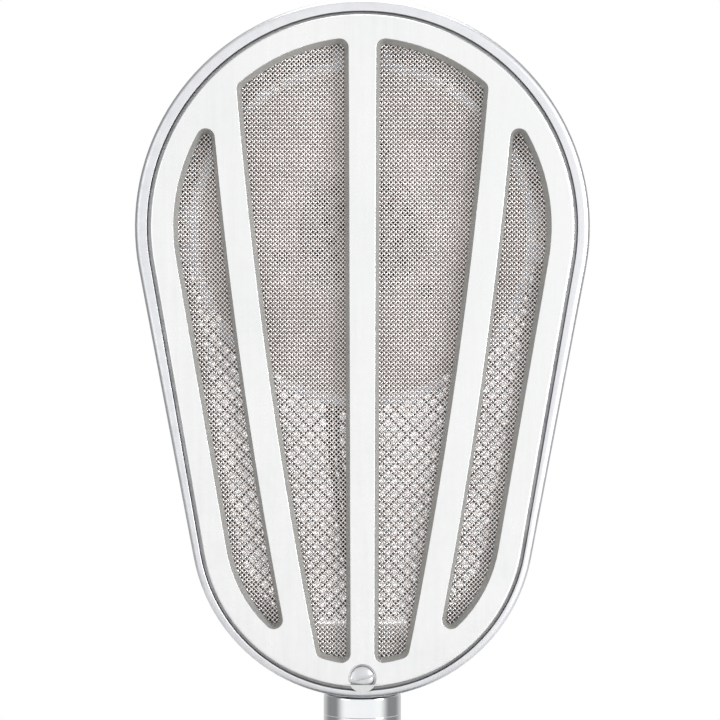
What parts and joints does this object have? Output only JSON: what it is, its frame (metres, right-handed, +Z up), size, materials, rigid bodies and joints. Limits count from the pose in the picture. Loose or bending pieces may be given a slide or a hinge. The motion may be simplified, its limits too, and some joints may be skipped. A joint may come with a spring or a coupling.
{
  "type": "desktop microphone",
  "caption": "Desktop microphone: slotted egg-shaped metal head with woven wire grilles and a moving-coil capsule, tilting on a chrome stem over a round weighted base.",
  "frame": {"origin": "centre of the base's underside, on the table plane under the rubber feet", "axes": "+Z up along the stem, -Y out of the front of the head, +X to the right seen from the front"},
  "size_m": [0.13, 0.13, 0.29],
  "materials": {
    "shell_metal": "satin cast aluminium",
    "cover_metal": "satin aluminium with fine upright brushing",
    "coarse_wire": "bright woven wire",
    "fine_wire": "bright fine woven wire",
    "plated_steel": "zinc plated",
    "ring_metal": "bright sheet aluminium",
    "nickel": "nickel plated brass",
    "blued_steel": "dark blued",
    "baffle_plastic": "moulded off-white plastic",
    "cap_metal": "dark grey enamel",
    "silk": "fine black silk",
    "diaphragm_film": "thin clear-amber film",
    "copper": "enamelled copper winding",
    "soft_iron": "bright machined iron",
    "magnet_iron": "ground magnet alloy",
    "housing_plastic": "black moulded phenolic",
    "felt": "wool felt",
    "phenolic": "laminated phenolic board",
    "brass_lug": "tinned brass",
    "lead_rubber": "black rubber insulation",
    "fibre": "vulcanised fibre",
    "chrome": "polished chrome",
    "base_enamel": "black crackle enamel",
    "weight_iron": "as cast",
    "plate_steel": "black enamelled sheet",
    "foot_rubber": "black moulded rubber"
  },
  "bodies": {
    "base": {"base_casting": "base_enamel", "base_weight": "weight_iron", "base_plate": "plate_steel", "base_plate_screws": "plated_steel", "rubber_feet": "foot_rubber", "cable_gland": "nickel", "gland_nut": "nickel", "terminal_block": "phenolic", "terminal_screws": "brass_lug", "stem_tube": "chrome", "stem_collar": "chrome", "stem_washer": "plated_steel", "stem_locknut": "plated_steel", "swivel_knuckle": "chrome", "stem_leads": "lead_rubber"},
    "head": {"rear_shell": "shell_metal", "rear_mesh": "coarse_wire", "rear_fine_mesh": "fine_wire", "mounting_ring": "ring_metal", "ring_washers": "nickel", "ring_screws": "nickel", "capsule_baffle": "baffle_plastic", "baffle_screws": "blued_steel", "perforated_cap": "cap_metal", "dust_silk": "silk", "diaphragm_clamp": "plated_steel", "top_plate": "soft_iron", "pole_piece": "soft_iron", "magnet": "magnet_iron", "magnet_yoke": "soft_iron", "capsule_housing": "housing_plastic", "damping_felt": "felt", "terminal_strip": "phenolic", "terminal_lugs": "brass_lug", "capsule_leads": "lead_rubber", "pivot_bolt": "plated_steel", "pivot_washers": "plated_steel", "friction_washers": "fibre", "pivot_nut": "plated_steel"},
    "cover": {"front_cover": "cover_metal", "front_mesh": "fine_wire", "mesh_retainer": "plated_steel", "retainer_screws": "plated_steel", "cover_screw": "plated_steel"},
    "moving_coil": {"diaphragm": "diaphragm_film", "voice_coil": "copper"}
  },
  "joints": [
    {"name": "head_tilt", "type": "hinge", "parent": "base", "child": "head", "pos_m": [0, 0, 0.122], "axis": [1, 0, 0], "range_deg": [-30, 20]},
    {"name": "cover_swing", "type": "hinge", "parent": "head", "child": "cover", "pos_m": [0, -0.0258, 0.2861], "axis": [-1, 0, 0], "range_deg": [0, 115]},
    {"name": "diaphragm_travel", "type": "slide", "parent": "head", "child": "moving_coil", "axis": [0, -1, 0], "range_m": [-0.0002, 0.0002], "stiffness_N_per_m": 20}
  ]
}
